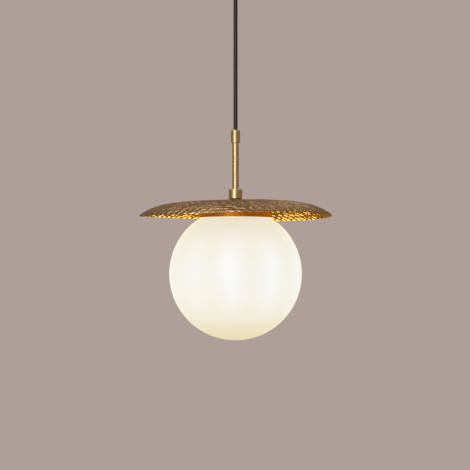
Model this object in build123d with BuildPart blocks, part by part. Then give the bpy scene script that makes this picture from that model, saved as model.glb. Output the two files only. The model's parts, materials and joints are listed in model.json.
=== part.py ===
from build123d import *
import math
import os

os.makedirs("parts", exist_ok=True)

# Pendant ceiling light: a hammered brass dish over an opal glass globe, on a short stem and a
# black cord. Millimetres, +Z up. The origin is on the ceiling, at the middle of the bracket,
# and everything hangs below it on the Z axis.

# ---------------------------------------------------------------- driving dimensions
globe_r = 100.0
glass_wall = 3.0
dish_r = 145.5
dish_crown = 22.0
dish_wall = 1.2
cord_r = 3.1
stem_r = 5.0
stem_bore_r = 4.0
coupler_r = 6.9
coupler_height = 18.3
collar_r = 55.6
canopy_r = 50.0
canopy_height = 28.0
canopy_wall = 1.5

# Heights. The dish's rim lies in the plane rim_z.
rim_z = -372.0
canopy_floor = -canopy_height
grip_height = 12.0
grip_mouth = canopy_floor - grip_height
bend_z = grip_mouth + 2.5
coupler_top = rim_z + 130.1
coupler_bottom = coupler_top - coupler_height
stem_top = coupler_bottom + 8.2
stem_bottom = rim_z + 3.5
bush_top = rim_z + 40.5
bush_bottom = rim_z + 26.2
dish_top = rim_z + dish_crown
dish_under = dish_top - dish_wall
globe_z = rim_z - 87.3

# Running gaps between pieces that move on each other, and how far a cut passes a wall.
thread_gap = 0.06
skin_gap = 0.05
cut_over = 1.0

# Fasteners of a size used more than once.
nut_flats = 14.0
nut_height = 4.0
screw_r = 2.0
small_screw_r = 1.5


def save(piece, name):
    """Label one finished piece and write it to its own file."""
    piece.label = name
    export_step(piece, f"parts/{name}.step")


def turned(outline):
    """A piece turned about the lamp's axis. The outline lists (radius, height) corners."""
    with BuildPart() as piece:
        with BuildSketch(Plane.XZ):
            with BuildLine():
                Polyline(*outline, close=True)
            make_face()
        revolve(axis=Axis.Z)
    return piece.part


def ring(inner_r, outer_r, low, high):
    """A plain washer, tube or bush between two heights."""
    with BuildPart() as piece:
        with BuildSketch(Plane.XY.offset(low)):
            Circle(outer_r)
            Circle(inner_r, mode=Mode.SUBTRACT)
        extrude(amount=high - low)
    return piece.part


def rod(radius, low, high):
    """A round rod on the lamp's axis."""
    with BuildPart() as piece:
        with BuildSketch(Plane.XY.offset(low)):
            Circle(radius)
        extrude(amount=high - low)
    return piece.part


def hex_nut(across_flats, bore_r, low, high):
    """A hexagonal nut with its upper edges broken."""
    edge = 0.4
    with BuildPart() as piece:
        with BuildSketch(Plane.XY.offset(low)):
            RegularPolygon(across_flats / 2, 6, major_radius=False)
            Circle(bore_r, mode=Mode.SUBTRACT)
        extrude(amount=high - low)
        chamfer(piece.edges().filter_by(GeomType.LINE).group_by(Axis.Z)[-1], edge)
    return piece.part


def radial_plane(angle, radius, height):
    """A plane across a radius: its origin at that radius, its normal pointing outwards."""
    turn = math.radians(angle)
    out = (math.cos(turn), math.sin(turn), 0)
    return Plane(origin=(radius * out[0], radius * out[1], height), x_dir=(0, 0, 1), z_dir=out)


def thumb_screw(angle, tip_r, shank_r, shank_length, head_r, head_length, height):
    """A knurled thumb screw that points at the axis, its tip at tip_r."""
    knurl_r = 0.35
    knurls = 24
    head_plane = radial_plane(angle, tip_r + shank_length, height)
    with BuildPart() as piece:
        with BuildSketch(radial_plane(angle, tip_r, height)):
            Circle(shank_r)
        extrude(amount=shank_length)
        with BuildSketch(head_plane):
            Circle(head_r)
            with PolarLocations(head_r, knurls):
                Circle(knurl_r, mode=Mode.SUBTRACT)
        extrude(amount=head_length)
    return piece.part


def grub_screw(angle, tip_r, length, radius, height):
    """A headless screw with a hexagon socket in its outer end."""
    with BuildPart() as piece:
        with BuildSketch(radial_plane(angle, tip_r, height)):
            Circle(radius)
        extrude(amount=length)
        with BuildSketch(radial_plane(angle, tip_r + length, height)):
            RegularPolygon(radius * 0.45, 6, major_radius=False)
        extrude(amount=-length * 0.4, mode=Mode.SUBTRACT)
    return piece.part


def wire(radius, start, leaving, crest, end, tail):
    """An insulated core: leaves start in a direction, over crest, and straight from end to tail."""
    arriving = Vector(*tail) - Vector(*end)
    with BuildPart() as piece:
        with BuildLine() as path:
            Spline(start, crest, end, tangents=(Vector(*leaving), arriving))
            Line(end, tail)
        with BuildSketch(Plane(origin=path.wire() @ 0, z_dir=path.wire() % 0)):
            Circle(radius)
        sweep()
    return piece.part


# ---------------------------------------------------------------- ceiling bracket
flange_gap = 0.4
flange_r = canopy_r - canopy_wall - flange_gap
flange_wall = 1.2
flange_depth = 14.0
plate_thickness = 2.0
slot_spacing = 70.0
slot_length = 12.0
slot_r = 2.75
cable_hole_r = 12.0

with BuildPart() as ceiling_bracket:
    with BuildSketch(Plane.XY.offset(-plate_thickness)):
        Circle(flange_r)
        Circle(cable_hole_r, mode=Mode.SUBTRACT)
        with Locations((-slot_spacing / 2, 0), (slot_spacing / 2, 0)):
            SlotOverall(slot_length, 2 * slot_r, mode=Mode.SUBTRACT)
    extrude(amount=plate_thickness)
    with BuildSketch(Plane.XY.offset(-flange_depth)):
        Circle(flange_r)
        Circle(flange_r - flange_wall, mode=Mode.SUBTRACT)
    extrude(amount=flange_depth - plate_thickness)
save(ceiling_bracket.part, "ceiling_bracket")

# ---------------------------------------------------------------- canopy
canopy_corner_r = 8.0
canopy_edge = -0.5
canopy_screw_z = -8.0
canopy_screw_shank = 4.2
canopy_screw_head_r = 4.5
canopy_screw_head = 5.0
canopy_screw_angles = {"left": 180.0, "right": 0.0}
grip_thread_r = 5.0
inner_corner_r = canopy_corner_r - canopy_wall
canopy_inner_r = canopy_r - canopy_wall

with BuildPart() as canopy_cup:
    with BuildSketch(Plane.XZ):
        with BuildLine():
            Line((grip_thread_r, canopy_floor), (canopy_r - canopy_corner_r, canopy_floor))
            RadiusArc(
                (canopy_r - canopy_corner_r, canopy_floor),
                (canopy_r, canopy_floor + canopy_corner_r),
                -canopy_corner_r,
            )
            Line((canopy_r, canopy_floor + canopy_corner_r), (canopy_r, canopy_edge))
            Line((canopy_r, canopy_edge), (canopy_inner_r, canopy_edge))
            Line((canopy_inner_r, canopy_edge), (canopy_inner_r, canopy_floor + canopy_corner_r))
            RadiusArc(
                (canopy_inner_r, canopy_floor + canopy_corner_r),
                (canopy_inner_r - inner_corner_r, canopy_floor + canopy_wall),
                inner_corner_r,
            )
            Line(
                (canopy_inner_r - inner_corner_r, canopy_floor + canopy_wall),
                (grip_thread_r, canopy_floor + canopy_wall),
            )
            Line((grip_thread_r, canopy_floor + canopy_wall), (grip_thread_r, canopy_floor))
        make_face()
    revolve(axis=Axis.Z)
    for angle in canopy_screw_angles.values():
        with BuildSketch(radial_plane(angle, canopy_inner_r - cut_over, canopy_screw_z)):
            Circle(screw_r + thread_gap)
        extrude(amount=canopy_wall + 2 * cut_over, mode=Mode.SUBTRACT)
save(canopy_cup.part, "canopy_cup")

for side, angle in canopy_screw_angles.items():
    screw = thumb_screw(
        angle,
        flange_r + skin_gap,
        screw_r,
        canopy_screw_shank,
        canopy_screw_head_r,
        canopy_screw_head,
        canopy_screw_z,
    )
    save(screw, f"canopy_screw_{side}")

# ---------------------------------------------------------------- cord grip in the canopy
grip_r = 8.5
grip_bore_r = cord_r + 0.2
grip_mouth_r = 6.2
grip_neck_top = -16.0
grip_screw_z = canopy_floor - 5.0
grip_screw_length = 5.0
grip_lip = 1.0
grip_flare = 0.8

with BuildPart() as grip_body:
    with BuildSketch(Plane.XZ):
        with BuildLine():
            Polyline(
                (grip_bore_r, grip_neck_top),
                (grip_bore_r, bend_z + grip_flare),
                (grip_mouth_r, grip_mouth),
                (grip_r - grip_lip, grip_mouth),
                (grip_r, grip_mouth + grip_lip),
                (grip_r, canopy_floor),
                (grip_thread_r, canopy_floor),
                (grip_thread_r, grip_neck_top),
                close=True,
            )
        make_face()
    revolve(axis=Axis.Z)
    with BuildSketch(radial_plane(90.0, cord_r, grip_screw_z)):
        Circle(screw_r)
    extrude(amount=grip_r, mode=Mode.SUBTRACT)
save(grip_body.part, "grip_body")
grip_screw = grub_screw(90.0, cord_r + skin_gap, grip_screw_length, screw_r, grip_screw_z)
save(grip_screw, "grip_screw")
grip_nut_bottom = canopy_floor + canopy_wall
grip_nut = hex_nut(nut_flats, grip_thread_r, grip_nut_bottom, grip_nut_bottom + nut_height)
save(grip_nut, "grip_nut")

# The cord flexes where it leaves the grip. A ball of its own thickness stands there, at the
# point it swings about, between the clamped end above and the long stretch below.
cord_top_end = grip_neck_top + 2.0
ball_clearance = cord_r + skin_gap
save(rod(cord_r, bend_z + ball_clearance, cord_top_end), "cord_clamped_end")

with BuildPart() as cord_bend:
    with Locations((0, 0, bend_z)):
        Sphere(cord_r)
save(cord_bend.part, "cord_bend")

cord_low_end = stem_top + 1.2
cord_high_end = bend_z - ball_clearance
cord_end_run = 45.0
cord_route = [
    (0.0, 0.0, cord_low_end),
    (0.0, 0.0, cord_low_end + cord_end_run),
    (0.0, 0.0, (cord_low_end + cord_high_end) / 2),
    (0.0, 0.0, cord_high_end - cord_end_run),
    (0.0, 0.0, cord_high_end),
]
with BuildPart() as cord_main:
    with BuildLine() as cord_path:
        Polyline(*cord_route)
    with BuildSketch(Plane.XY.offset(cord_low_end)):
        Circle(cord_r)
    sweep()
save(cord_main.part, "cord_main")

# ---------------------------------------------------------------- terminal block in the canopy
block_x = -27.0
block_size = (14.0, 30.0, 13.0)
block_corner_r = 1.5
block_floor = canopy_floor + canopy_wall
block_pitch = 9.0
pole_offsets = [-block_pitch, 0.0, block_pitch]
tube_z = block_floor + 5.0
tube_r = 2.4
tube_wall = 0.8
tube_length = 12.0
pole_screw_r = 1.6
pole_screw_length = 4.2
pole_well_gap = 0.6
driver_slot = (2.4, 0.6)
driver_slot_depth = 0.8

with BuildPart() as terminal_block:
    with BuildSketch(Plane.XY.offset(block_floor)):
        with Locations((block_x, 0)):
            RectangleRounded(block_size[0], block_size[1], block_corner_r)
    extrude(amount=block_size[2])
    for offset in pole_offsets:
        with BuildSketch(Plane(origin=(block_x - block_size[0], offset, tube_z), z_dir=(1, 0, 0))):
            Circle(tube_r)
        extrude(amount=2 * block_size[0], mode=Mode.SUBTRACT)
        with BuildSketch(Plane.XY.offset(tube_z)):
            with Locations((block_x, offset)):
                Circle(pole_screw_r + pole_well_gap)
        extrude(amount=block_size[2], mode=Mode.SUBTRACT)
save(terminal_block.part, "terminal_block")

with BuildPart() as terminal_tubes:
    for offset in pole_offsets:
        tube_start = (block_x - tube_length / 2, offset, tube_z)
        with BuildSketch(Plane(origin=tube_start, z_dir=(1, 0, 0))):
            Circle(tube_r)
            Circle(tube_r - tube_wall, mode=Mode.SUBTRACT)
        extrude(amount=tube_length)
save(terminal_tubes.part, "terminal_tubes")

with BuildPart() as terminal_screws:
    for offset in pole_offsets:
        with BuildSketch(Plane.XY.offset(tube_z + tube_r)):
            with Locations((block_x, offset)):
                Circle(pole_screw_r)
        extrude(amount=pole_screw_length)
        with BuildSketch(Plane.XY.offset(tube_z + tube_r + pole_screw_length)):
            with Locations((block_x, offset)):
                Rectangle(*driver_slot)
        extrude(amount=-driver_slot_depth, mode=Mode.SUBTRACT)
save(terminal_screws.part, "terminal_screws")

core_r = 1.2
core_ring_r = 1.5
pole_of_core = {"live": -block_pitch, "earth": 0.0, "neutral": block_pitch}
core_turns = {"live": 300.0, "earth": 180.0, "neutral": 60.0}
wire_mouth_x = block_x + 11.0
wire_tail_x = block_x + 5.0
core_rise = 3.0
core_lean = 5.5
core_spread = 0.3
for core, turn in core_turns.items():
    x = core_ring_r * math.cos(math.radians(turn))
    y = core_ring_r * math.sin(math.radians(turn))
    pole = pole_of_core[core]
    start = (x, y, cord_top_end)
    crest = (x - core_lean, y + pole * core_spread, cord_top_end + core_rise)
    end = (wire_mouth_x, pole, tube_z)
    tail = (wire_tail_x, pole, tube_z)
    save(wire(core_r, start, (0, 0, 1), crest, end, tail), f"canopy_wire_{core}")

# ---------------------------------------------------------------- coupler at the top of the stem
insert_r = 5.4
insert_bore_r = cord_r + 0.1
insert_top = coupler_top - 1.4
insert_bottom = cord_low_end + 0.4
coupler_screw_z = coupler_top - 6.0
coupler_screw_sunk = 0.2
coupler_mouth_r = cord_r + 0.5
coupler_edge = (0.9, 1.3)
coupler_lip = (0.25, 0.9)

with BuildPart() as coupler:
    with BuildSketch(Plane.XZ):
        with BuildLine():
            Polyline(
                (stem_r, coupler_bottom),
                (stem_r, stem_top),
                (insert_r, stem_top),
                (insert_r, insert_top),
                (coupler_mouth_r, insert_top),
                (coupler_mouth_r, coupler_top),
                (coupler_r - coupler_edge[0], coupler_top),
                (coupler_r, coupler_top - coupler_edge[1]),
                (coupler_r, coupler_bottom + coupler_edge[1]),
                (coupler_r + coupler_lip[0], coupler_bottom + coupler_lip[1]),
                (coupler_r + coupler_lip[0], coupler_bottom),
                close=True,
            )
        make_face()
    revolve(axis=Axis.Z)
    with BuildSketch(radial_plane(90.0, cord_r, coupler_screw_z)):
        Circle(small_screw_r)
    extrude(amount=coupler_r, mode=Mode.SUBTRACT)
save(coupler.part, "coupler")
save(ring(insert_bore_r, insert_r, insert_bottom, insert_top), "coupler_insert")
coupler_screw_length = coupler_r - insert_r - coupler_screw_sunk
coupler_screw = grub_screw(
    90.0, insert_r, coupler_screw_length, small_screw_r, coupler_screw_z
)
save(coupler_screw, "coupler_screw")

# ---------------------------------------------------------------- stem and bush
save(ring(stem_bore_r, stem_r, stem_bottom, stem_top), "stem_tube")

bush_r = 10.2
bush_top_edge = 0.7
bush_low_edge = 0.4
bush_screw_z = bush_top - 5.0
bush_screw_length = 4.6
spacer_r = 8.8
with BuildPart() as stem_bush:
    with BuildSketch(Plane.XZ):
        with BuildLine():
            Polyline(
                (stem_r, bush_bottom),
                (stem_r, bush_top),
                (bush_r - bush_top_edge, bush_top),
                (bush_r, bush_top - bush_top_edge),
                (bush_r, bush_bottom + bush_low_edge),
                (bush_r - bush_low_edge, bush_bottom),
                close=True,
            )
        make_face()
    revolve(axis=Axis.Z)
    with BuildSketch(radial_plane(90.0, stem_r - cut_over, bush_screw_z)):
        Circle(screw_r)
    extrude(amount=bush_r, mode=Mode.SUBTRACT)
save(stem_bush.part, "stem_bush")
bush_screw = grub_screw(90.0, stem_r + skin_gap, bush_screw_length, screw_r, bush_screw_z)
save(bush_screw, "bush_screw")
save(ring(stem_r, spacer_r, dish_top, bush_bottom), "dish_spacer")

# ---------------------------------------------------------------- dish
dish_hole_r = stem_r
dish_shape = 4.5
dish_power = 0.8
dish_stations = [0.2, 0.4, 0.55, 0.7, 0.8, 0.87, 0.93, 0.97, 1.0]
rim_direction = (-0.05, -1)


def dish_height(radius):
    """Height of the dish's outer face above its rim: flat in the middle, round at the shoulder."""
    inside = max(0.0, 1.0 - (radius / dish_r) ** dish_shape)
    return dish_crown * inside ** dish_power


outer_points = [(dish_hole_r, dish_top)]
outer_points += [(dish_r * s, rim_z + dish_height(dish_r * s)) for s in dish_stations]
dish_face = Spline(*outer_points, tangents=[(1, 0), rim_direction], mode=Mode.PRIVATE)
inner_points = []
for s in [0.0] + dish_stations[:-1]:
    point = dish_face @ s
    direction = dish_face % s
    inner_points.append((point.X + direction.Y * dish_wall, point.Y - direction.X * dish_wall))
inner_points.append((dish_r - dish_wall, rim_z))

with BuildPart() as dish:
    with BuildSketch(Plane.XZ):
        with BuildLine():
            Spline(*outer_points, tangents=[(1, 0), rim_direction])
            Line((dish_r, rim_z), (dish_r - dish_wall, rim_z))
            Spline(*reversed(inner_points), tangents=[(-rim_direction[0], 1), (-1, 0)])
            Line(inner_points[0], outer_points[0])
        make_face()
    revolve(axis=Axis.Z)
save(dish.part, "dish")

# ---------------------------------------------------------------- clamp stack under the dish
washer_thickness = 1.0
washer_r = 15.0
cup_top = dish_under - washer_thickness
cup_plate = 1.5
cup_r = 53.6
cup_wall = 1.5
cup_bottom = rim_z + 6.5
cup_corner_r = 2.0
vent_r = 3.0
vent_ring_r = 33.0

save(ring(stem_r, washer_r, cup_top, dish_under), "dish_washer")

with BuildPart() as spigot_cup:
    with BuildSketch(Plane.XY.offset(cup_bottom)):
        Circle(cup_r)
    extrude(amount=cup_top - cup_bottom)
    fillet(spigot_cup.edges().filter_by(GeomType.CIRCLE).sort_by(Axis.Z)[-1], cup_corner_r)
    with BuildSketch(Plane.XY.offset(cup_bottom)):
        Circle(cup_r - cup_wall)
    extrude(amount=cup_top - cup_plate - cup_bottom, mode=Mode.SUBTRACT)
    with BuildSketch(Plane.XY.offset(cup_bottom)):
        Circle(stem_r)
        with PolarLocations(vent_ring_r, 6):
            Circle(vent_r)
    extrude(amount=cup_top - cup_bottom, mode=Mode.SUBTRACT)
save(spigot_cup.part, "spigot_cup")

tooth_top = cup_top - cup_plate
nut_top = tooth_top - washer_thickness
nut_bottom = nut_top - nut_height
tooth_washer_r = 9.0
teeth = 12
tooth_gap_r = 0.9

with BuildPart() as tooth_washer:
    with BuildSketch(Plane.XY.offset(nut_top)):
        Circle(tooth_washer_r)
        Circle(stem_r, mode=Mode.SUBTRACT)
        with PolarLocations(tooth_washer_r, teeth):
            Circle(tooth_gap_r, mode=Mode.SUBTRACT)
    extrude(amount=tooth_top - nut_top)
save(tooth_washer.part, "tooth_washer")

save(hex_nut(nut_flats, stem_r, nut_bottom, nut_top), "lock_nut")

# ---------------------------------------------------------------- lampholder
holder_r = 20.0
holder_inner_r = 18.2
cap_top = rim_z + 11.5
holder_split = rim_z - 12.0
insert_floor = rim_z - 24.0
holder_mouth = rim_z - 46.0
thread_shell_r = 13.5
thread_shell_wall = 0.6
mouth_r = 14.9
mouth_taper = (2.0, 3.0)
mouth_lip = 2.0
holder_neck_r = 8.0
holder_neck_inner_r = 6.6
holder_neck_height = 8.0
holder_neck_edge = 0.6
holder_skirt = 8.0
holder_shoulder = 10.0
holder_shoulder_edge = 1.6
neck_floor = stem_bottom - 1.0
recess_r = 6.0
recess_depth = 2.0

holder_cap = turned([
    (stem_r, cap_top),
    (holder_neck_r - holder_neck_edge, cap_top),
    (holder_neck_r, cap_top - holder_neck_edge),
    (holder_neck_r, cap_top - holder_neck_height),
    (holder_r - holder_shoulder_edge, holder_split + holder_shoulder),
    (holder_r, holder_split + holder_shoulder - holder_shoulder_edge),
    (holder_r, holder_split),
    (holder_inner_r, holder_split),
    (holder_inner_r, holder_split + holder_skirt),
    (holder_neck_inner_r, neck_floor),
    (stem_r, neck_floor),
])
save(holder_cap, "holder_cap")

holder_sleeve = turned([
    (holder_r, holder_split),
    (holder_r, holder_mouth + mouth_taper[1]),
    (holder_r - mouth_taper[0], holder_mouth),
    (mouth_r, holder_mouth),
    (mouth_r, holder_mouth + mouth_lip),
    (holder_inner_r, holder_mouth + 2 * mouth_lip),
    (holder_inner_r, holder_split),
])
save(holder_sleeve, "holder_sleeve")

with BuildPart() as holder_insert:
    with BuildSketch(Plane.XY.offset(insert_floor)):
        Circle(holder_inner_r - 0.1)
    extrude(amount=holder_split - insert_floor)
    with BuildSketch(Plane.XY.offset(insert_floor)):
        Circle(recess_r)
    extrude(amount=recess_depth, mode=Mode.SUBTRACT)
save(holder_insert.part, "holder_insert")

holder_thread = turned([
    (thread_shell_r, holder_mouth + 1.5),
    (thread_shell_r, insert_floor),
    (thread_shell_r + thread_shell_wall, insert_floor),
    (thread_shell_r + thread_shell_wall, holder_mouth + 1.5),
])
save(holder_thread, "holder_thread")

tongue = (9.0, 4.0)
tongue_thickness = 0.8
tongue_z = insert_floor + 1.2
contact_r = 1.8
contact_drop = 0.8
with BuildPart() as holder_contact:
    with BuildSketch(Plane.XY.offset(tongue_z)):
        Rectangle(*tongue)
    extrude(amount=tongue_thickness)
    with BuildSketch(Plane.XY.offset(insert_floor - contact_drop)):
        Circle(contact_r)
    extrude(amount=tongue_z - insert_floor + contact_drop)
save(holder_contact.part, "holder_contact")

post_height = 5.0
post_size = (6.0, 7.0)
post_screw_r = 1.4
post_screw_y = 1.8
post_wire_y = -1.6
post_edge = 0.5
posts = {"live": (-9.0, 0.0), "neutral": (9.0, 0.0), "earth": (0.0, 10.0)}
with BuildPart() as holder_terminals:
    with BuildSketch(Plane.XY.offset(holder_split)):
        with Locations(*posts.values()):
            Rectangle(*post_size)
    extrude(amount=post_height)
    chamfer(holder_terminals.edges().group_by(Axis.Z)[-1], post_edge)
save(holder_terminals.part, "holder_terminals")

screw_spots = [(x, y + post_screw_y) for x, y in posts.values()]
with BuildPart() as holder_screws:
    with BuildSketch(Plane.XY.offset(holder_split + post_height)):
        with Locations(*screw_spots):
            Circle(post_screw_r)
    extrude(amount=post_screw_r)
    with BuildSketch(Plane.XY.offset(holder_split + post_height + post_screw_r)):
        with Locations(*screw_spots):
            Rectangle(*driver_slot)
    extrude(amount=-driver_slot_depth, mode=Mode.SUBTRACT)
save(holder_screws.part, "holder_screws")

stem_twist = -90.0
core_top = stem_top + 0.8
for core, (post_x, post_y) in posts.items():
    turn = math.radians(core_turns[core] + stem_twist)
    x = core_ring_r * math.cos(turn)
    y = core_ring_r * math.sin(turn)
    foot = (post_x, post_y + post_wire_y, holder_split + post_height)
    with BuildPart() as stem_wire:
        with BuildLine():
            Line((x, y, core_top), (x, y, stem_bottom))
            Spline((x, y, stem_bottom), foot, tangents=[(0, 0, -1), (0, 0, -1)])
        with BuildSketch(Plane.XY.offset(core_top)):
            with Locations((x, y)):
                Circle(core_r)
        sweep()
    save(stem_wire.part, f"stem_wire_{core}")

# ---------------------------------------------------------------- globe
neck_r = 51.5
neck_top = rim_z + 5.5
collar_wall = 1.7
collar_bottom = rim_z - 3.0
collar_top = rim_z + 18.8
collar_inner_r = collar_r - collar_wall
glass_inner_r = globe_r - glass_wall
neck_inner_r = neck_r - glass_wall
shoulder_z = globe_z + math.sqrt(globe_r**2 - neck_r**2)
inner_shoulder_z = globe_z + math.sqrt(glass_inner_r**2 - neck_inner_r**2)

with BuildPart() as globe_glass:
    with BuildSketch(Plane.XZ):
        with BuildLine():
            ThreePointArc(
                (0, globe_z - globe_r), (globe_r, globe_z), (neck_r, shoulder_z)
            )
            Line((neck_r, shoulder_z), (neck_r, neck_top))
            Line((neck_r, neck_top), (neck_inner_r, neck_top))
            Line((neck_inner_r, neck_top), (neck_inner_r, inner_shoulder_z))
            ThreePointArc(
                (neck_inner_r, inner_shoulder_z),
                (glass_inner_r, globe_z),
                (0, globe_z - glass_inner_r),
            )
            Line((0, globe_z - glass_inner_r), (0, globe_z - globe_r))
        make_face()
    revolve(axis=Axis.Z)
save(globe_glass.part, "globe_glass")

globe_screw_z = rim_z + 12.5
globe_screw_shank = 6.5
globe_screw_head_r = 4.2
globe_screw_head = 6.0
collar_edge_r = 0.5
bond_bottom = shoulder_z + 0.2
bond_top = neck_top - 0.5
globe_screw_angles = {"a": 90.0, "b": 210.0, "c": 330.0}

with BuildPart() as globe_collar:
    with BuildSketch(Plane.XY.offset(collar_bottom)):
        Circle(collar_r)
        Circle(collar_inner_r, mode=Mode.SUBTRACT)
    extrude(amount=collar_top - collar_bottom)
    fillet(globe_collar.edges().sort_by(Axis.Z)[-2:], collar_edge_r)
    for angle in globe_screw_angles.values():
        with BuildSketch(radial_plane(angle, collar_inner_r - cut_over, globe_screw_z)):
            Circle(screw_r + thread_gap)
        extrude(amount=collar_wall + 2 * cut_over, mode=Mode.SUBTRACT)
save(globe_collar.part, "globe_collar")
save(ring(neck_r, collar_inner_r, bond_bottom, bond_top), "globe_bond")

for key, angle in globe_screw_angles.items():
    screw = thumb_screw(
        angle,
        cup_r + skin_gap,
        screw_r,
        globe_screw_shank,
        globe_screw_head_r,
        globe_screw_head,
        globe_screw_z,
    )
    save(screw, f"globe_screw_{key}")

# ---------------------------------------------------------------- bulb
bulb_tip = rim_z - 25.3
button_bottom = bulb_tip - 1.3
shell_top = bulb_tip - 4.2
shell_bottom = bulb_tip - 21.2
shell_r = 12.6
shell_wall = 0.4
thread_pitch = 3.6
thread_depth = 0.5
housing_bottom = bulb_tip - 62.7
diffuser_r = 30.0
diffuser_z = bulb_tip - 70.4
diffuser_wall = 1.5
seat_r = math.sqrt(diffuser_r**2 - (housing_bottom - diffuser_z) ** 2)

button_r = 4.8
insulator_r = 10.8
insulator_floor = shell_top - 1.5

save(rod(button_r, button_bottom, bulb_tip), "bulb_contact")
bulb_insulator = turned([
    (0, button_bottom),
    (button_r + 0.8, button_bottom),
    (insulator_r, shell_top),
    (insulator_r, insulator_floor),
    (0, insulator_floor),
])
save(bulb_insulator, "bulb_insulator")

ridges = 4
thread_top = shell_top - 1.6
outer_wall = [(insulator_r, shell_top), (shell_r, thread_top)]
for turn in range(ridges):
    crest = thread_top - thread_pitch * (turn + 0.5)
    root = crest - thread_pitch / 2
    outer_wall += [(shell_r + thread_depth, crest), (shell_r, root)]
outer_wall += [(shell_r, shell_bottom)]
inner_wall = [(r - shell_wall, z) for r, z in reversed(outer_wall[1:])]
save(turned(outer_wall + inner_wall + [(insulator_r, insulator_floor)]), "bulb_shell")

waist_z = shell_bottom - 14.0
waist_r = 18.0
housing_wall = 2.0
housing_top_r = shell_r + 0.8
leaving_shell = (0.2, -1)
reaching_seat = (0.55, -1)

with BuildPart() as bulb_housing:
    with BuildSketch(Plane.XZ):
        with BuildLine():
            Spline(
                (housing_top_r, shell_bottom),
                (waist_r, waist_z),
                (seat_r, housing_bottom),
                tangents=[leaving_shell, reaching_seat],
            )
            Line((seat_r, housing_bottom), (seat_r - housing_wall, housing_bottom))
            Spline(
                (seat_r - housing_wall, housing_bottom),
                (waist_r - housing_wall, waist_z),
                (housing_top_r - housing_wall, shell_bottom),
                tangents=[(-reaching_seat[0], 1), (-leaving_shell[0], 1)],
            )
            Line((housing_top_r - housing_wall, shell_bottom), (housing_top_r, shell_bottom))
        make_face()
    revolve(axis=Axis.Z)
save(bulb_housing.part, "bulb_housing")

diffuser_inner_r = diffuser_r - diffuser_wall
inner_seat_r = math.sqrt(diffuser_inner_r**2 - (housing_bottom - diffuser_z) ** 2)
with BuildPart() as bulb_diffuser:
    with BuildSketch(Plane.XZ):
        with BuildLine():
            ThreePointArc(
                (0, diffuser_z - diffuser_r), (diffuser_r, diffuser_z), (seat_r, housing_bottom)
            )
            Line((seat_r, housing_bottom), (inner_seat_r, housing_bottom))
            ThreePointArc(
                (inner_seat_r, housing_bottom),
                (diffuser_inner_r, diffuser_z),
                (0, diffuser_z - diffuser_inner_r),
            )
            Line((0, diffuser_z - diffuser_inner_r), (0, diffuser_z - diffuser_r))
        make_face()
    revolve(axis=Axis.Z)
save(bulb_diffuser.part, "bulb_diffuser")

board_thickness = 1.6
board_r = 25.0
chips = 10
chip_ring_r = 17.0
chip_side = 3.0
chip_height = 0.7
save(rod(board_r, housing_bottom - board_thickness, housing_bottom), "led_board")

with BuildPart() as led_chips:
    with BuildSketch(Plane.XY.offset(housing_bottom - board_thickness)):
        with PolarLocations(chip_ring_r, chips):
            Rectangle(chip_side, chip_side)
    extrude(amount=-chip_height)
save(led_chips.part, "led_chips")
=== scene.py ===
import json
import math
import random
import bpy
import numpy as np
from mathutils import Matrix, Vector


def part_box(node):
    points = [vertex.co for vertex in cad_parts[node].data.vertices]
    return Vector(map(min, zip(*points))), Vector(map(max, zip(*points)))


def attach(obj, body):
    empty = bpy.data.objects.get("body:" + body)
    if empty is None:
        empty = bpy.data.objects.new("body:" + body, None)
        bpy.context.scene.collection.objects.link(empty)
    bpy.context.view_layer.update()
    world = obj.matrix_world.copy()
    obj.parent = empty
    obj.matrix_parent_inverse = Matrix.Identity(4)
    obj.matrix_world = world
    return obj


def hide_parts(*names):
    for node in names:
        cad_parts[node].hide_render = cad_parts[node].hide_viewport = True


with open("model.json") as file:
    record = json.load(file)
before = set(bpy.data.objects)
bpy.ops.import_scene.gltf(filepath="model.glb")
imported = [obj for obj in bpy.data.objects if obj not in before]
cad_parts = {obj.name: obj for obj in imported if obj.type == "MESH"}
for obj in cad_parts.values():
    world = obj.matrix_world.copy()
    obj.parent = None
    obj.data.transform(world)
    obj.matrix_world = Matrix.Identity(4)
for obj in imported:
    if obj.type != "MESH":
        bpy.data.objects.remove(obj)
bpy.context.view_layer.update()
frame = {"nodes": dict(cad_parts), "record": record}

MM = 0.001
rng = random.Random(7)

# ---------------------------------------------------------------- places read from the frame
dish_low, dish_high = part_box("dish")
cord_low, cord_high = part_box("cord_main")
bend_low, bend_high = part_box("cord_bend")

RIM_Z = dish_low[2]
DISH_R = (dish_high[0] - dish_low[0]) / 2
DISH_CROWN = dish_high[2] - dish_low[2]
DISH_WALL = 1.2 * MM
GLOBE_R = 100.0 * MM
GLOBE_WALL = 3.0 * MM
GLOBE_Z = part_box("globe_glass")[0][2] + GLOBE_R

# ---------------------------------------------------------------- camera
SENSOR_MM = 36.0
LENS_MM = 96.1
CAMERA_X = -0.8 * MM
CAMERA_Y = -1896.0 * MM
CAMERA_BELOW_RIM = 82.3 * MM
AIM_BELOW_RIM = 28.7 * MM


def make_camera():
    """Level with the upper half of the globe, tipped up a little, long lens."""
    data = bpy.data.cameras.new("camera")
    data.sensor_width = SENSOR_MM
    data.lens = LENS_MM
    cam = bpy.data.objects.new("camera", data)
    bpy.context.collection.objects.link(cam)
    cam.location = (CAMERA_X, CAMERA_Y, RIM_Z - CAMERA_BELOW_RIM)
    aim = Vector((CAMERA_X, 0.0, RIM_Z - AIM_BELOW_RIM))
    cam.rotation_mode = "QUATERNION"
    cam.rotation_quaternion = (aim - cam.location).to_track_quat("-Z", "Y")
    bpy.context.scene.camera = cam


make_camera()

# ---------------------------------------------------------------- node helpers
# Blender's noise seldom leaves this band, so tones and gloss are spread over it.
NOISE_LOW = 0.3
NOISE_HIGH = 0.7

# Every finish made below, by name.
MATERIALS = {}


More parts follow.
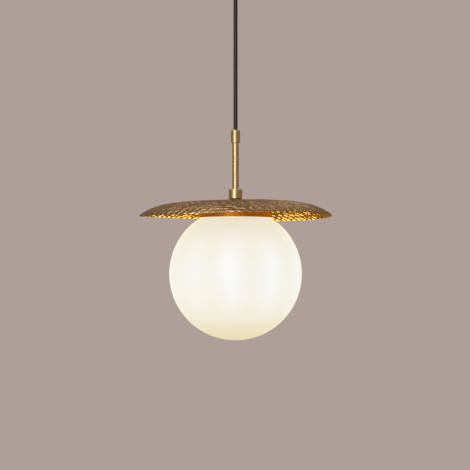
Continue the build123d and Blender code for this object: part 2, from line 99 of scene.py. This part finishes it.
def new_material(name, metallic=0.0):
    """Start a finish and list it under its name: its node tree and its shader."""
    mat = bpy.data.materials.new(name)
    mat.use_nodes = True
    shader = mat.node_tree.nodes["Principled BSDF"]
    shader.inputs["Metallic"].default_value = metallic
    MATERIALS[name] = mat
    return mat.node_tree, shader


def link(tree, a, out, b, into):
    tree.links.new(a.outputs[out], b.inputs[into])


def coordinates(tree, scale=(1.0, 1.0, 1.0)):
    """Object coordinates in metres, stretched by scale."""
    place = tree.nodes.new("ShaderNodeTexCoord")
    mapping = tree.nodes.new("ShaderNodeMapping")
    mapping.inputs["Scale"].default_value = scale
    link(tree, place, "Object", mapping, "Vector")
    return mapping


def noise(tree, vector, scale, detail, rough):
    node = tree.nodes.new("ShaderNodeTexNoise")
    node.inputs["Scale"].default_value = scale
    node.inputs["Detail"].default_value = detail
    node.inputs["Roughness"].default_value = rough
    link(tree, vector, 0, node, "Vector")
    return node


def ramp(tree, source, out, stops):
    """A colour ramp through (place, colour) stops."""
    node = tree.nodes.new("ShaderNodeValToRGB")
    while len(node.color_ramp.elements) < len(stops):
        node.color_ramp.elements.new(0.5)
    for element, (at, colour) in zip(node.color_ramp.elements, stops):
        element.position = at
        element.color = (*colour, 1.0)
    link(tree, source, out, node, "Fac")
    return node


def map_range(tree, source, out, low, high, to_low, to_high):
    node = tree.nodes.new("ShaderNodeMapRange")
    node.inputs["From Min"].default_value = low
    node.inputs["From Max"].default_value = high
    node.inputs["To Min"].default_value = to_low
    node.inputs["To Max"].default_value = to_high
    link(tree, source, out, node, "Value")
    return node


def math_node(tree, operation, *values):
    """A maths node. A value is a number or a (node, output) pair."""
    node = tree.nodes.new("ShaderNodeMath")
    node.operation = operation
    for socket, value in zip(node.inputs, values):
        if isinstance(value, tuple):
            tree.links.new(value[0].outputs[value[1]], socket)
        else:
            socket.default_value = value
    return node


def bump(tree, source, shader, strength, distance):
    """Fine relief from a noise node."""
    node = tree.nodes.new("ShaderNodeBump")
    node.inputs["Strength"].default_value = strength
    node.inputs["Distance"].default_value = distance
    link(tree, source, "Fac", node, "Height")
    link(tree, node, "Normal", shader, "Normal")


def uneven_gloss(tree, cloud, shader, rough_low, rough_high):
    """Roughness that drifts with a noise node."""
    gloss = map_range(tree, cloud, "Fac", NOISE_LOW, NOISE_HIGH, rough_low, rough_high)
    link(tree, gloss, "Result", shader, "Roughness")


def uneven_tone(tree, cloud, shader, dark, light):
    """Base colour that drifts with a noise node."""
    tone = ramp(tree, cloud, "Fac", [(NOISE_LOW, dark), (NOISE_HIGH, light)])
    link(tree, tone, "Color", shader, "Base Color")


# ---------------------------------------------------------------- brass
LATHE_STRETCH = (12.0, 12.0, 2200.0)
LATHE_DEPTH = 0.01 * MM
PIT_DEPTH = 0.03 * MM
PIT_STRENGTH = 0.3


def brass(name, dark, light, rough_low, rough_high, lathe=0.2):
    """Turned brass: uneven tone from handling, and lathe lines round the axis unless lathe is 0."""
    tree, shader = new_material(name, metallic=1.0)
    cloud = noise(tree, coordinates(tree), scale=55.0, detail=4.0, rough=0.6)
    uneven_tone(tree, cloud, shader, dark, light)
    uneven_gloss(tree, cloud, shader, rough_low, rough_high)
    if lathe:
        lines = coordinates(tree, LATHE_STRETCH)
        grain = noise(tree, lines, scale=1.0, detail=3.0, rough=0.6)
        bump(tree, grain, shader, lathe, LATHE_DEPTH)


def hammered(name, dark, light, rough_low, rough_high, metallic):
    """Hammered brass: the hollows keep their tarnish and the ridges are rubbed bright."""
    tree, shader = new_material(name, metallic)
    mark = tree.nodes.new("ShaderNodeAttribute")
    mark.attribute_name = "ridge"
    cloud = noise(tree, coordinates(tree), scale=38.0, detail=5.0, rough=0.65)
    cloud_share = 0.9
    worn = math_node(tree, "MULTIPLY_ADD", (cloud, "Fac"), cloud_share, (mark, "Fac"))
    tone = ramp(tree, worn, "Value", [(0.4, dark), (1.3, light)])
    link(tree, tone, "Color", shader, "Base Color")
    uneven_gloss(tree, cloud, shader, rough_low, rough_high)
    pits = noise(tree, coordinates(tree), scale=900.0, detail=3.0, rough=0.6)
    bump(tree, pits, shader, PIT_STRENGTH, PIT_DEPTH)


# ---------------------------------------------------------------- plastics, plating and rubber
GRAIN_DEPTH = 0.02 * MM
GRAIN_STRENGTH = 0.3
GLOSS_DRIFT = 0.15


def plastic(name, colour, rough, speckle=0.06, metallic=0.0):
    """A moulded or plated surface: a little tone and gloss variation and a fine grain."""
    tree, shader = new_material(name, metallic)
    cloud = noise(tree, coordinates(tree), scale=80.0, detail=3.0, rough=0.6)
    dark = tuple(c * (1.0 - speckle) for c in colour)
    light = tuple(min(1.0, c * (1.0 + speckle)) for c in colour)
    uneven_tone(tree, cloud, shader, dark, light)
    duller = min(1.0, rough * (1.0 + GLOSS_DRIFT))
    uneven_gloss(tree, cloud, shader, rough * (1.0 - GLOSS_DRIFT), duller)
    grain = noise(tree, coordinates(tree), scale=900.0, detail=2.0, rough=0.5)
    bump(tree, grain, shader, GRAIN_STRENGTH, GRAIN_DEPTH)


# ---------------------------------------------------------------- lit pieces
BULB_CHIPS = 10
FIRST_LOBE = math.radians(-4.0)
# Glow lobes are full on one side of the globe and weak round the back: a painted brightening of the
# camera-facing side.
PAINTED_BRIGHT_SIDE = math.radians(16.0)
SIDE_LOBES = 0.15
LOBE_COLOUR = (0.91, 0.91, 0.91, 1.0)

# The glow from the globe's bottom (0) to its top (1).
OPAL_GLOW = [
    (0.00, (0.76, 0.65, 0.40)),
    (0.06, (0.81, 0.72, 0.49)),
    (0.19, (0.86, 0.82, 0.67)),
    (0.32, (0.88, 0.85, 0.76)),
    (0.50, (0.88, 0.86, 0.78)),
    (0.72, (0.86, 0.84, 0.72)),
    (0.88, (0.79, 0.76, 0.60)),
    (1.00, (0.68, 0.62, 0.44)),
]


def bulb_glow(tree, split):
    """Soft upright lobes round the globe's waist, where the bulb's chips shine through. They are
    full only on the side facing the camera and faint elsewhere: that one-sided brightening is
    painted.
    """
    forward = math_node(tree, "MULTIPLY", (split, "Y"), -1.0)
    turn = math_node(tree, "ARCTAN2", (split, "X"), (forward, 0))
    phase = math_node(tree, "MULTIPLY_ADD", (turn, 0), BULB_CHIPS, -BULB_CHIPS * FIRST_LOBE)
    wave = math_node(tree, "COSINE", (phase, 0))
    lobes = map_range(tree, wave, 0, -1.0, 1.0, 0.0, 1.0)
    across = math_node(tree, "MULTIPLY", (split, "X"), math.sin(PAINTED_BRIGHT_SIDE))
    facing = math_node(tree, "MULTIPLY_ADD", (forward, 0), math.cos(PAINTED_BRIGHT_SIDE), (across, 0))
    painted_front_bias = map_range(tree, facing, 0, 0.2 * GLOBE_R, 0.95 * GLOBE_R, SIDE_LOBES, 1.0)
    level = math_node(tree, "SUBTRACT", (split, "Z"), GLOBE_Z)
    off_waist = math_node(tree, "ABSOLUTE", (level, 0))
    waist = map_range(tree, off_waist, 0, 0.75 * GLOBE_R, 0.05 * GLOBE_R, 0.0, 1.0)
    waist.interpolation_type = "SMOOTHSTEP"
    lobes_with_painted_front = math_node(tree, "MULTIPLY", (lobes, 0), (painted_front_bias, 0))
    return math_node(tree, "MULTIPLY", (lobes_with_painted_front, 0), (waist, 0))


def opal():
    """Opal glass lit from inside: white at its waist, warmer towards the top and the bottom."""
    tree, shader = new_material("opal_glass")
    shader.inputs["Base Color"].default_value = (0.05, 0.05, 0.05, 1.0)
    shader.inputs["Roughness"].default_value = 0.25
    shader.inputs["IOR"].default_value = 1.5
    shader.inputs["Specular IOR Level"].default_value = 0.12
    place = tree.nodes.new("ShaderNodeTexCoord")
    split = tree.nodes.new("ShaderNodeSeparateXYZ")
    link(tree, place, "Object", split, "Vector")
    height = map_range(tree, split, "Z", GLOBE_Z - GLOBE_R, GLOBE_Z + GLOBE_R, 0.0, 1.0)
    glow = ramp(tree, height, "Result", OPAL_GLOW)
    lobes = bulb_glow(tree, split)
    blend = tree.nodes.new("ShaderNodeMix")
    blend.data_type = "RGBA"
    colours_in = [socket for socket in blend.inputs if socket.type == "RGBA"]
    colour_out = next(socket for socket in blend.outputs if socket.type == "RGBA")
    link(tree, lobes, 0, blend, 0)
    tree.links.new(glow.outputs["Color"], colours_in[0])
    colours_in[1].default_value = LOBE_COLOUR
    tree.links.new(colour_out, shader.inputs["Emission Color"])
    shader.inputs["Emission Strength"].default_value = 1.0


def lit(name, colour, strength):
    """A frosted piece of the bulb: a plain glow over a soft mottled base."""
    tree, shader = new_material(name)
    cloud = noise(tree, coordinates(tree), scale=60.0, detail=2.0, rough=0.5)
    uneven_tone(tree, cloud, shader, (0.86, 0.85, 0.80), (0.92, 0.91, 0.87))
    shader.inputs["Roughness"].default_value = 0.5
    shader.inputs["Emission Color"].default_value = (*colour, 1.0)
    shader.inputs["Emission Strength"].default_value = strength


# ---------------------------------------------------------------- the finishes, by material slot
brass("brass_satin", (0.82, 0.61, 0.32), (0.89, 0.68, 0.38), 0.36, 0.40, lathe=0.02)
# Collar-and-cup brass: partly its own brass, partly a painted orange glow of the globe's light
# mixed into its colour.
brass("brass_band_painted_glow", (0.74, 0.34, 0.028), (0.80, 0.39, 0.038), 0.42, 0.48, lathe=0.0)
brass("brass_bright", (0.74, 0.55, 0.27), (0.82, 0.63, 0.33), 0.18, 0.26)
hammered("brass_hammered", (0.29, 0.165, 0.072), (0.58, 0.375, 0.185), 0.22, 0.30, 1.0)
# The dish's inside face: the outer brass made lighter and deep orange, a painted glow of the
# globe's light on it.
hammered("brass_inside_painted_glow", (0.70, 0.37, 0.038), (0.88, 0.54, 0.115), 0.22, 0.28, 0.95)
opal()
plastic("cord_black", (0.030, 0.028, 0.030), 0.42, 0.15)
plastic("steel_zinc", (0.60, 0.61, 0.63), 0.32, 0.08, metallic=1.0)
plastic("nylon_white", (0.80, 0.80, 0.77), 0.45)
plastic("rubber_black", (0.03, 0.03, 0.03), 0.65, 0.2)
plastic("holder_black", (0.035, 0.035, 0.035), 0.3, 0.15)
plastic("ceramic_white", (0.82, 0.81, 0.76), 0.18)
plastic("nickel_plate", (0.72, 0.70, 0.66), 0.25, metallic=1.0)
plastic("insulator_black", (0.02, 0.02, 0.025), 0.2, 0.1)
plastic("bulb_white", (0.84, 0.84, 0.81), 0.35)
lit("bulb_diffuser", (1.0, 0.93, 0.78), 1.6)
plastic("board_white", (0.85, 0.85, 0.84), 0.4)
lit("led_yellow", (1.0, 0.86, 0.45), 2.5)
plastic("silicone_clear", (0.70, 0.70, 0.67), 0.35)
plastic("wire_brown", (0.20, 0.09, 0.04), 0.4)
plastic("wire_blue", (0.03, 0.12, 0.45), 0.4)
plastic("wire_green", (0.20, 0.45, 0.06), 0.4, 0.3)

# The globe's collar and cup, whose brass carries that painted orange glow.
GLOW_TINTED_BRASS_NODES = ("globe_collar", "spigot_cup")


def dress_cad():
    """Give each carried-over CAD node its slot's finish; the globe's fitting gets a darker, deep
    orange brass whose colour holds a painted glow of the globe's light.
    """
    for row in frame["record"]["subparts"]:
        node = row["node"]
        finish = "brass_band_painted_glow" if node in GLOW_TINTED_BRASS_NODES else row["material_slot"]
        mesh = frame["nodes"][node].data
        mesh.materials.clear()
        mesh.materials.append(MATERIALS[finish])


dress_cad()

# ---------------------------------------------------------------- cord
CORD_R = 3.1 * MM
CORD_STEADY = 45.0 * MM


def make_cord():
    """The taut black cord, from the coupler on the stem up into the canopy's grip."""
    low = cord_low[2]
    high = cord_high[2]
    route = [
        (0.0, 0.0, low),
        (0.0, 0.0, low + CORD_STEADY),
        (0.0, 0.0, (low + high) / 2),
        (0.0, 0.0, high - CORD_STEADY),
        (0.0, 0.0, high),
        (0.0, 0.0, (bend_low[2] + bend_high[2]) / 2),
    ]
    data = bpy.data.curves.new("cord", "CURVE")
    data.dimensions = "3D"
    data.bevel_depth = CORD_R
    data.bevel_resolution = 10
    data.resolution_u = 12
    data.use_fill_caps = True
    spline = data.splines.new("NURBS")
    spline.points.add(len(route) - 1)
    for point, place in zip(spline.points, route):
        point.co = (*place, 1.0)
    spline.order_u = 3
    spline.use_endpoint_u = True
    data.materials.append(MATERIALS["cord_black"])
    cord = bpy.data.objects.new("cord", data)
    bpy.context.collection.objects.link(cord)
    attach(cord, "cord")
    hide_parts("cord_main")


make_cord()


# ---------------------------------------------------------------- mesh helpers
def mesh_object(name, verts, faces, materials, smooth=True):
    mesh = bpy.data.meshes.new(name)
    mesh.from_pydata([tuple(v) for v in verts], [], [tuple(f) for f in faces])
    mesh.validate()
    for mat in materials:
        mesh.materials.append(mat)
    mesh.polygons.foreach_set("use_smooth", [smooth] * len(mesh.polygons))
    obj = bpy.data.objects.new(name, mesh)
    bpy.context.collection.objects.link(obj)
    return obj


def revolve(outline, segments):
    """Vertices and faces of a solid of revolution about Z. Points on the axis are shared."""
    verts = []
    rings = []
    for radius, height in outline:
        if radius == 0.0:
            rings.append([len(verts)] * segments)
            verts.append((0.0, 0.0, height))
            continue
        rings.append(list(range(len(verts), len(verts) + segments)))
        for i in range(segments):
            turn = 2 * math.pi * i / segments
            verts.append((radius * math.cos(turn), radius * math.sin(turn), height))
    faces = []
    for ring, nxt in zip(rings, rings[1:] + rings[:1]):
        for i in range(segments):
            j = (i + 1) % segments
            corners = [ring[i], ring[j], nxt[j], nxt[i]]
            kept = [c for n, c in enumerate(corners) if c != corners[n - 1]]
            if len(kept) > 2:
                faces.append(kept)
    return verts, faces


# ---------------------------------------------------------------- globe
GLOBE_SEGMENTS = 192
GLOBE_STEPS = 96
NECK_R = 51.5 * MM
NECK_TOP = RIM_Z + 5.5 * MM
NECK_CHAMFER = 0.8 * MM


def sphere_arc(radius, start, stop):
    """Points of a sphere's outline about the globe's centre, by angle from its top."""
    for i in range(GLOBE_STEPS + 1):
        turn = start + (stop - start) * i / GLOBE_STEPS
        yield radius * math.sin(turn), GLOBE_Z + radius * math.cos(turn)


def make_globe():
    """The opal globe: a sphere with a short neck, as one closed skin of its real thickness."""
    inner_r = GLOBE_R - GLOBE_WALL
    inner_neck = NECK_R - GLOBE_WALL
    outer_stop = math.acos(math.sqrt(GLOBE_R**2 - NECK_R**2) / GLOBE_R)
    inner_stop = math.asin(inner_neck / inner_r)
    outline = [
        *sphere_arc(GLOBE_R, math.pi, outer_stop),
        (NECK_R, NECK_TOP - NECK_CHAMFER),
        (NECK_R - NECK_CHAMFER, NECK_TOP),
        (inner_neck + NECK_CHAMFER, NECK_TOP),
        (inner_neck, NECK_TOP - NECK_CHAMFER),
        *sphere_arc(inner_r, inner_stop, math.pi),
    ]
    outline[0] = (0.0, outline[0][1])
    outline[-1] = (0.0, outline[-1][1])
    verts, faces = revolve(outline, GLOBE_SEGMENTS)
    globe = mesh_object("globe", verts, faces, [MATERIALS["opal_glass"]])
    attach(globe, "globe")
    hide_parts("globe_glass")


make_globe()

# ---------------------------------------------------------------- dish: its plain form
# Height over the rim is DISH_CROWN * (1 - (r / DISH_R) ** DISH_SHAPE) ** DISH_POWER.
DISH_SHAPE = 4.5
DISH_POWER = 0.8
DISH_HOLE_R = 5.0 * MM
RIM_CHAMFER = 0.5 * MM

# The sheet's slight twist: height gained per metre of x and of y.
WARP = -0.206

# Spacing of the mesh's points, finer where the marks are at their full depth.
GRID = 1.17 * MM
MIDDLE_GRID = 1.7 * MM
MIDDLE_R = 70.0 * MM
FEWEST_IN_RING = 24
PROFILE_SAMPLES = 4000


def dish_profile():
    """Steps along the outer face, from hole to rim: travel, radius, height, direction."""
    hole = math.asin(DISH_HOLE_R / DISH_R)
    share = np.sin(np.linspace(hole, math.pi / 2, PROFILE_SAMPLES))
    radius = DISH_R * share
    height = DISH_CROWN * np.maximum(0.0, 1.0 - share**DISH_SHAPE) ** DISH_POWER
    run = np.concatenate([[0.0], np.cumsum(np.hypot(np.diff(radius), np.diff(height)))])
    middle = np.arange(0.0, MIDDLE_R, MIDDLE_GRID)
    steps = int(round((run[-1] - middle[-1]) / GRID))
    even = np.concatenate([middle[:-1], np.linspace(middle[-1], run[-1], steps + 1)])
    r = np.interp(even, run, radius)
    z = np.interp(even, run, height)
    heading = np.stack([np.gradient(r), np.gradient(z)], axis=1)
    heading /= np.linalg.norm(heading, axis=1)[:, None]
    return even + DISH_HOLE_R, r, RIM_Z + z, heading


def dish_points():
    """The outer face's points in staggered rings: the rings' ranges, then a row per point."""
    rings = []
    rows = []
    for step, (s, r, z, (run, rise)) in enumerate(zip(*dish_profile())):
        spacing = GRID if s > MIDDLE_R else MIDDLE_GRID
        count = max(FEWEST_IN_RING, int(round(2 * math.pi * r / spacing)))
        turn = 2 * np.pi * (np.arange(count) + 0.5 * (step % 2)) / count
        start = rings[-1].stop if rings else 0
        rings.append(range(start, start + count))
        rows.append(np.stack(np.broadcast_arrays(turn, s, r, z, run, rise), axis=1))
    return rings, np.concatenate(rows)


# ---------------------------------------------------------------- dish: its hammer marks
MARK_LONG = 11.0 * MM
MARK_SHORT = 6.4 * MM
MARK_STRETCH = 1.35
MARK_SIZES = (0.95, 1.2)

# Each mark leans by up to MARK_SKEW from the round, to either hand in alternate quarters.
MARK_SKEW = 0.58
LEAN_JITTER = 0.05
TURN_JITTER = 0.15
RING_JITTER = 0.12
FEWEST_MARKS = 5

# The innermost ring's radius, in short axes, and the square of the ridge's place in half-axes.
FIRST_RING = 0.6
RIDGE = 1.2

# Depth of the marks, shallow where the bush, the washers and the cup bear on the sheet.
MARK_DEPTH = 0.8 * MM
MARK_DEPTH_INSIDE = 1.0 * MM
UNDER_BUSH_R = 12.0 * MM
CLEAR_OF_BUSH_R = 20.0 * MM
OVER_CUP_R = 58.0 * MM
CLEAR_OF_CUP_R = 68.0 * MM
OVER_CUP_SHARE = 0.5

# The shading's marks are a little deeper than the shape's.
SHADE_GAIN = 1.3
SHADE_GAIN_INSIDE = 1.5


def hammer_marks(reach):
    """Hammer blows in loose rings, each longer round the dish: place, direction, half-axes."""
    marks = []
    ring = MARK_SHORT * FIRST_RING
    while ring < reach + MARK_SHORT:
        count = max(FEWEST_MARKS, round(2 * math.pi * ring / MARK_LONG))
        start = rng.uniform(0, 2 * math.pi)
        for i in range(count):
            shift = rng.uniform(-TURN_JITTER, TURN_JITTER)
            turn = start + 2 * math.pi * (i + shift) / count
            out = ring + rng.uniform(-RING_JITTER, RING_JITTER) * MARK_SHORT
            skew = MARK_SKEW * math.sin(2 * turn) + rng.gauss(0.0, LEAN_JITTER)
            lean = turn + math.pi / 2 + skew
            half = rng.uniform(*MARK_SIZES) / 2
            marks.append((
                out * math.cos(turn), out * math.sin(turn),
                math.cos(lean), math.sin(lean),
                half * MARK_LONG * MARK_STRETCH, half * MARK_SHORT,
            ))
        ring += MARK_SHORT
    return marks


def mark_field(points, marks):
    """How far up its mark's side each point lies (0 in a hollow, RIDGE on top), and the slope."""
    field = np.full(len(points), RIDGE)
    slope = np.zeros((len(points), 2))
    for x, y, cos_a, sin_a, long_r, short_r in marks:
        off = points - (x, y)
        near = np.flatnonzero(np.abs(off).sum(axis=1) < 2 * long_r)
        dx, dy = off[near].T
        along = (dx * cos_a + dy * sin_a) / long_r
        across = (-dx * sin_a + dy * cos_a) / short_r
        here = along**2 + across**2
        lower = here < field[near]
        near, along, across = near[lower], along[lower], across[lower]
        field[near] = here[lower]
        slope[near, 0] = 2 * (along * cos_a / long_r - across * sin_a / short_r)
        slope[near, 1] = 2 * (along * sin_a / long_r + across * cos_a / short_r)
    return field, slope


# ---------------------------------------------------------------- dish: its mesh
def zip_rings(low, high):
    """Triangles between two rings of vertices with different counts."""
    faces = []
    a, b = len(low), len(high)
    i = j = 0
    while i < a or j < b:
        if j >= b or (i < a and (i + 1) / a <= (j + 1) / b):
            faces.append((low[i % a], high[j % b], low[(i + 1) % a]))
            i += 1
        else:
            faces.append((low[i % a], high[j % b], high[(j + 1) % b]))
            j += 1
    return faces


def dish_faces(rings):
    """The outer face, the inner face turned over, then the hole's wall and the rim's edge."""
    total = rings[-1].stop
    outer = [face for low, high in zip(rings, rings[1:]) for face in zip_rings(low, high)]
    inner = [(a + total, c + total, b + total) for a, b, c in outer]
    edges = []
    for loop in (rings[0], rings[-1][::-1]):
        for a, b in zip(loop, [*loop[1:], loop[0]]):
            edges.append((b, b + total, a + total, a))
    return outer, inner, edges


def make_dish():
    """The hammered dish: both faces follow the same marks, as thin sheet does."""
    rings, rows = dish_points()
    turn, s, r, z, run, rise = rows.T
    cos_t, sin_t = np.cos(turn), np.sin(turn)
    flat_out = np.stack([cos_t, sin_t], axis=1)
    flat_round = np.stack([-sin_t, cos_t], axis=1)
    field, steep = mark_field(flat_out * s[:, None], hammer_marks(s[-1]))
    base = np.stack([r * cos_t, r * sin_t, z], axis=1)
    ahead = np.stack([run * cos_t, run * sin_t, rise], axis=1)
    aside = np.stack([-sin_t, cos_t, np.zeros_like(turn)], axis=1)
    up = np.stack([-rise * cos_t, -rise * sin_t, run], axis=1)
    bearings = [UNDER_BUSH_R, CLEAR_OF_BUSH_R, OVER_CUP_R, CLEAR_OF_CUP_R]
    shares = [0.0, OVER_CUP_SHARE, OVER_CUP_SHARE, 1.0]
    outer_depth = MARK_DEPTH * np.interp(s, bearings, shares)
    inner_depth = MARK_DEPTH_INSIDE * np.interp(s, [OVER_CUP_R, CLEAR_OF_CUP_R], [0.0, 1.0])
    steep_out = np.sum(steep * flat_out, axis=1)[:, None] * ahead
    steep_round = np.sum(steep * flat_round, axis=1)[:, None] * aside
    tilt = steep_out + steep_round
    outside = base + up * (outer_depth * (field - 1.0))[:, None]
    inside = base + up * (inner_depth * (field - 1.0) - DISH_WALL)[:, None]
    inside[rings[-1].start:, 2] += RIM_CHAMFER
    normals = np.concatenate([
        up - tilt * (SHADE_GAIN * outer_depth)[:, None],
        tilt * (SHADE_GAIN_INSIDE * inner_depth)[:, None] - up,
    ])
    normals /= np.linalg.norm(normals, axis=1)[:, None]
    verts = np.concatenate([outside, inside])
    verts[:, 2] += WARP * verts[:, 0] * verts[:, 1]
    outer, inner, edges = dish_faces(rings)
    dish = mesh_object(
        "dish_sheet",
        verts,
        outer + inner + edges,
        [MATERIALS["brass_hammered"], MATERIALS["brass_inside_painted_glow"]],
    )
    # The outer face and the edges take the outer brass; the inner face takes the brass with the
    # painted globe glow.
    index = [0] * len(outer) + [1] * len(inner) + [0] * len(edges)
    dish.data.polygons.foreach_set("material_index", index)
    ridge = dish.data.attributes.new("ridge", "FLOAT", "POINT")
    ridge.data.foreach_set("value", np.tile(field / RIDGE, 2))
    dish.data.normals_split_custom_set_from_vertices(normals)
    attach(dish, "lamp")
    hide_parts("dish")


make_dish()

# ---------------------------------------------------------------- floor and room
FLOOR_Z = -1.7
FLOOR_R = 4.0
FLOOR_THICK = 0.02
FLOOR_SEGMENTS = 96
FLOOR_COLOUR = (0.80, 0.77, 0.73)
WALL_COLOUR = (0.418, 0.350, 0.314, 1.0)

# What the metal mirrors, from straight down (0) to straight up (1).
ROOM_SHADES = [
    (0.00, (0.10, 0.060, 0.03)),
    (0.40, (0.20, 0.120, 0.05)),
    (0.52, (0.19, 0.14, 0.10)),
    (0.75, (0.30, 0.26, 0.22)),
    (1.00, (0.26, 0.22, 0.19)),
]


def make_floor():
    """A plain pale floor well below the lamp."""
    outline = [(0.0, FLOOR_Z), (FLOOR_R, FLOOR_Z), (FLOOR_R, FLOOR_Z - FLOOR_THICK)]
    verts, faces = revolve(outline, FLOOR_SEGMENTS)
    plastic("floor", FLOOR_COLOUR, 0.8, 0.01)
    floor = mesh_object("floor", verts, faces, [MATERIALS["floor"]], smooth=False)
    floor.visible_glossy = False


def make_room():
    """A plain wall behind the lamp, and shades of a room for its metal to mirror."""
    world = bpy.data.worlds.new("room")
    bpy.context.scene.world = world
    world.use_nodes = True
    tree = world.node_tree
    wall = tree.nodes["Background"]
    wall.inputs["Color"].default_value = WALL_COLOUR
    room = tree.nodes.new("ShaderNodeBackground")
    place = tree.nodes.new("ShaderNodeTexCoord")
    split = tree.nodes.new("ShaderNodeSeparateXYZ")
    link(tree, place, "Generated", split, "Vector")
    height = map_range(tree, split, "Z", -1.0, 1.0, 0.0, 1.0)
    shade = ramp(tree, height, "Result", ROOM_SHADES)
    link(tree, shade, "Color", room, "Color")
    path = tree.nodes.new("ShaderNodeLightPath")
    mix = tree.nodes.new("ShaderNodeMixShader")
    link(tree, path, "Is Camera Ray", mix, "Fac")
    link(tree, room, 0, mix, 1)
    link(tree, wall, 0, mix, 2)
    link(tree, mix, 0, tree.nodes["World Output"], "Surface")


# ---------------------------------------------------------------- lights
LAMP_MIDDLE = (0.0, 0.0, -0.33)
COOL_LIGHT = (0.95, 1.0, 1.04)
SOFT_LIGHT = (1.0, 0.97, 0.93)
WARM_LIGHT = (1.0, 0.93, 0.84)
PANEL_LIGHT = (1.0, 0.97, 0.94)
BULB_LIGHT = (1.0, 0.82, 0.62)


def area_light(name, place, size, radiance, colour, aim=LAMP_MIDDLE):
    """A soft panel whose face has the given brightness."""
    data = bpy.data.lights.new(name, "AREA")
    data.shape = "RECTANGLE"
    data.size, data.size_y = size
    data.energy = radiance * math.pi * size[0] * size[1]
    data.color = colour
    light = bpy.data.objects.new(name, data)
    bpy.context.collection.objects.link(light)
    light.location = place
    light.rotation_mode = "QUATERNION"
    light.rotation_quaternion = (Vector(aim) - Vector(place)).to_track_quat("-Z", "Y")
    return light


def floor_light(radiance):
    """An even panel that lights only the floor, so that it stays pale under the lamp."""
    below = (0.0, 0.0, FLOOR_Z)
    light = area_light("floor_panel", (0.0, 0.0, 2.5), (6.0, 6.0), radiance, PANEL_LIGHT, below)
    only_floor = bpy.data.collections.new("lit_by_floor_panel")
    only_floor.objects.link(bpy.data.objects["floor"])
    light.light_linking.receiver_collection = only_floor


def lamp_light(radiance):
    """The light that the globe throws on the metal round it. The globe itself is left out."""
    radius = GLOBE_R - 0.5 * MM
    data = bpy.data.lights.new("lamp", "POINT")
    data.shadow_soft_size = radius
    data.use_soft_falloff = False
    data.energy = radiance * 4 * math.pi**2 * radius**2
    data.color = BULB_LIGHT
    light = bpy.data.objects.new("lamp", data)
    bpy.context.collection.objects.link(light)
    light.location = (0.0, 0.0, GLOBE_Z)
    light.visible_camera = False
    left_out = bpy.data.collections.new("not_lit_by_lamp")
    left_out.objects.link(bpy.data.objects["globe"])
    left_out.collection_objects[0].light_linking.link_state = "EXCLUDE"
    light.light_linking.receiver_collection = left_out
    light.light_linking.blocker_collection = left_out
    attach(light, "globe")


make_floor()
make_room()
area_light("window", (-0.62, -1.65, 0.05), (0.9, 1.5), 2.8, COOL_LIGHT)
area_light("fill", (1.9, -1.2, -0.2), (0.9, 1.4), 0.05, WARM_LIGHT)
area_light("top_front", (-0.45, -0.8, 1.5), (1.9, 0.40), 2.3, SOFT_LIGHT)
area_light("top_back", (-0.1, 0.35, 1.5), (3.0, 0.40), 1.4, SOFT_LIGHT)
lamp_light(2.05)
floor_light(1.5)

bpy.context.scene.view_settings.view_transform = "Standard"
